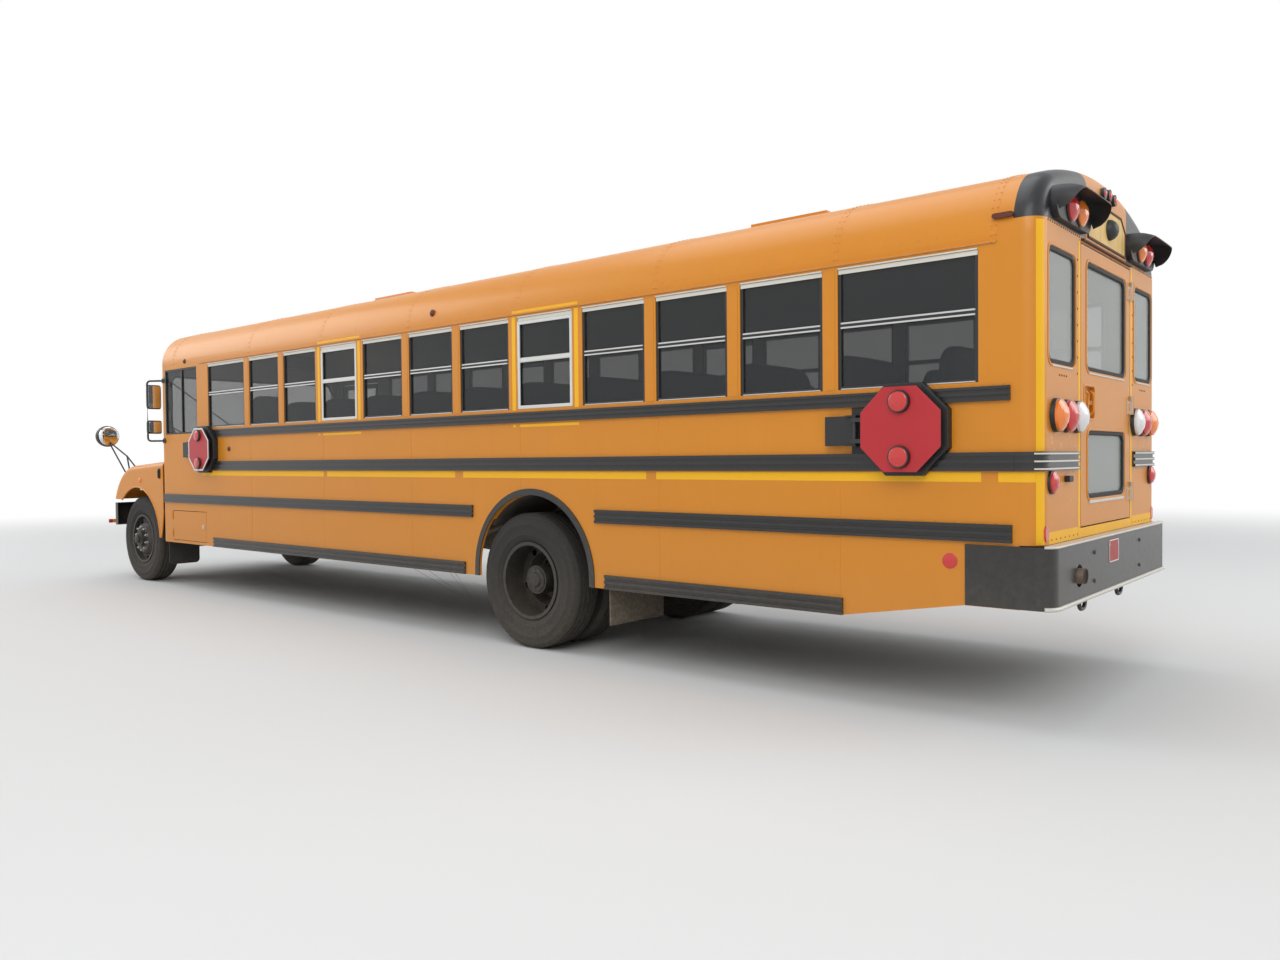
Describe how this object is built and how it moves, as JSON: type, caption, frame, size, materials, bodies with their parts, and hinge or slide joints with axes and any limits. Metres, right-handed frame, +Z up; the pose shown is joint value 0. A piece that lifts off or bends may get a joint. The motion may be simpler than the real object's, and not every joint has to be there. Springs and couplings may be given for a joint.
{
  "type": "school bus",
  "caption": "Long yellow school bus with its engine ahead of the cab, stop arms, twin rear wheels and opening doors.",
  "frame": {"origin": "on the ground, in the middle of the overall length and width", "axes": "+X forward, +Y to the driver's side (left), +Z up"},
  "size_m": [11.975, 2.68, 3.155],
  "materials": {
    "yellow_paint": "satin, weathered",
    "black_paint": "satin",
    "dark_steel": "matte, road grime",
    "wheel_paint": "satin",
    "bare_aluminium": "mill finish",
    "exhaust_steel": "heat stained",
    "tyre_rubber": "worn",
    "black_rubber": "matte",
    "clear_glass": "clear, lightly tinted",
    "lens_plastic": "moulded lens",
    "headlamp_lens": "clear lens",
    "seat_vinyl": "grained vinyl",
    "floor_rubber": "ribbed",
    "dark_plastic": "grained",
    "mirror_black": "satin",
    "sign_red": "satin",
    "gate_amber": "satin",
    "engine_iron": "oily",
    "radiator_core": "matte black",
    "hatch_white": "satin"
  },
  "bodies": {
    "body": {"dashboard": "dark_plastic", "driveline": "dark_steel", "driver_seat": "seat_vinyl", "engine": "engine_iron", "exhaust": "exhaust_steel", "floor": "floor_rubber", "front_axle": "dark_steel", "front_bumper": "black_paint", "front_wall": "yellow_paint", "fuel_tank": "dark_steel", "ladder_frame": "dark_steel", "lamps": "lens_plastic", "mud_flaps": "black_rubber", "radiator": "radiator_core", "rear_axle": "dark_steel", "rear_bumper": "black_paint", "rear_wall": "yellow_paint", "roof": "yellow_paint", "roof_caps": "yellow_paint", "roof_hatches": "hatch_white", "rub_rails": "black_paint", "seats_left": "seat_vinyl", "seats_right": "seat_vinyl", "side_mirrors": "mirror_black", "side_wall_left": "yellow_paint", "side_wall_right": "yellow_paint", "stepwell": "floor_rubber", "stop_housings": "dark_plastic", "warning_pods": "black_paint", "wheel_boxes": "floor_rubber", "window_frames": "bare_aluminium", "window_glass": "clear_glass", "windscreen": "clear_glass"},
    "knuckle_left": {"knuckle_left": "dark_steel"},
    "knuckle_right": {"knuckle_right": "dark_steel"},
    "front_wheel_left": {"front_rim_left": "wheel_paint", "front_tyre_left": "tyre_rubber"},
    "front_wheel_right": {"front_rim_right": "wheel_paint", "front_tyre_right": "tyre_rubber"},
    "rear_wheels_left": {"rear_rims_left": "wheel_paint", "rear_tyres_left": "tyre_rubber"},
    "rear_wheels_right": {"rear_rims_right": "wheel_paint", "rear_tyres_right": "tyre_rubber"},
    "tie_rod": {"tie_rod": "dark_steel"},
    "steering_wheel": {"steering_wheel": "dark_plastic"},
    "nose": {"hood": "yellow_paint", "grille": "black_paint", "headlamps": "headlamp_lens", "wing_mirrors": "mirror_black"},
    "rear_door": {"rear_door": "yellow_paint", "rear_door_glass": "clear_glass"},
    "entrance_front": {"entrance_leaf_front": "black_paint", "entrance_glass_front": "clear_glass"},
    "entrance_rear": {"entrance_leaf_rear": "black_paint", "entrance_glass_rear": "clear_glass"},
    "battery_door": {"battery_door": "yellow_paint"},
    "fuel_door": {"fuel_door": "yellow_paint"},
    "stop_sign_front": {"stop_sign_front": "sign_red"},
    "stop_sign_rear": {"stop_sign_rear": "sign_red"},
    "crossing_gate": {"crossing_gate": "gate_amber"}
  },
  "joints": [
    {"name": "steer_left", "type": "hinge", "parent": "body", "child": "knuckle_left", "pos_m": [5.0125, 0.85, 0.522], "axis": [0, 0, 1], "range_deg": [-38, 38]},
    {"name": "steer_right", "type": "hinge", "parent": "body", "child": "knuckle_right", "pos_m": [5.0125, -0.85, 0.522], "axis": [0, 0, 1], "range_deg": [-38, 38]},
    {"name": "tie_rod_swing", "type": "hinge", "parent": "knuckle_left", "child": "tie_rod", "pos_m": [4.8225, 0.85, 0.4077], "axis": [0, 0, 1], "range_deg": [-38, 38]},
    {"name": "steering_wheel_turn", "type": "hinge", "parent": "body", "child": "steering_wheel", "pos_m": [3.7925, 0.48, 1.8], "axis": [-0.5, 0, 0.866], "range_deg": [-610, 610]},
    {"name": "front_left_spin", "type": "hinge", "parent": "knuckle_left", "child": "front_wheel_left", "pos_m": [5.0125, 1.01, 0.522], "axis": [0, 1, 0], "continuous": true},
    {"name": "front_right_spin", "type": "hinge", "parent": "knuckle_right", "child": "front_wheel_right", "pos_m": [5.0125, -1.01, 0.522], "axis": [0, 1, 0], "continuous": true},
    {"name": "rear_left_spin", "type": "hinge", "parent": "body", "child": "rear_wheels_left", "pos_m": [-1.9975, 0.882, 0.522], "axis": [0, 1, 0], "continuous": true},
    {"name": "rear_right_spin", "type": "hinge", "parent": "body", "child": "rear_wheels_right", "pos_m": [-1.9975, -0.882, 0.522], "axis": [0, 1, 0], "continuous": true},
    {"name": "nose_tilt", "type": "hinge", "parent": "body", "child": "nose", "pos_m": [5.6325, 0, 1.02], "axis": [0, 1, 0], "range_deg": [0, 75]},
    {"name": "rear_door_swing", "type": "hinge", "parent": "body", "child": "rear_door", "pos_m": [-5.8425, -0.53, 1.838], "axis": [0, 0, 1], "range_deg": [0, 110]},
    {"name": "entrance_front_swing", "type": "hinge", "parent": "body", "child": "entrance_front", "pos_m": [4.1185, -1.213, 1.44], "axis": [0, 0, 1], "range_deg": [0, 90]},
    {"name": "entrance_rear_swing", "type": "hinge", "parent": "body", "child": "entrance_rear", "pos_m": [3.3365, -1.213, 1.44], "axis": [0, 0, 1], "range_deg": [-90, 0]},
    {"name": "battery_door_swing", "type": "hinge", "parent": "body", "child": "battery_door", "pos_m": [3.9895, 1.212, 0.7325], "axis": [0, 0, 1], "range_deg": [-110, 0]},
    {"name": "fuel_door_swing", "type": "hinge", "parent": "body", "child": "fuel_door", "pos_m": [-3.8575, -1.212, 0.785], "axis": [0, 0, 1], "range_deg": [0, 110]},
    {"name": "stop_sign_front_swing", "type": "hinge", "parent": "body", "child": "stop_sign_front", "pos_m": [3.4075, 1.267, 1.6], "axis": [0, 0, 1], "range_deg": [-90, 0]},
    {"name": "stop_sign_rear_swing", "type": "hinge", "parent": "body", "child": "stop_sign_rear", "pos_m": [-4.8175, 1.267, 1.6], "axis": [0, 0, 1], "range_deg": [-90, 0]},
    {"name": "crossing_gate_swing", "type": "hinge", "parent": "body", "child": "crossing_gate", "pos_m": [5.8125, -0.96, 0.715], "axis": [0, 0, 1], "range_deg": [-90, 0]}
  ],
  "couplings": [
    {"joint": "steer_right", "follows": "steer_left", "ratio": 1},
    {"joint": "tie_rod_swing", "follows": "steer_left", "ratio": -1},
    {"joint": "steering_wheel_turn", "follows": "steer_left", "ratio": 16},
    {"joint": "entrance_rear_swing", "follows": "entrance_front_swing", "ratio": -1}
  ]
}
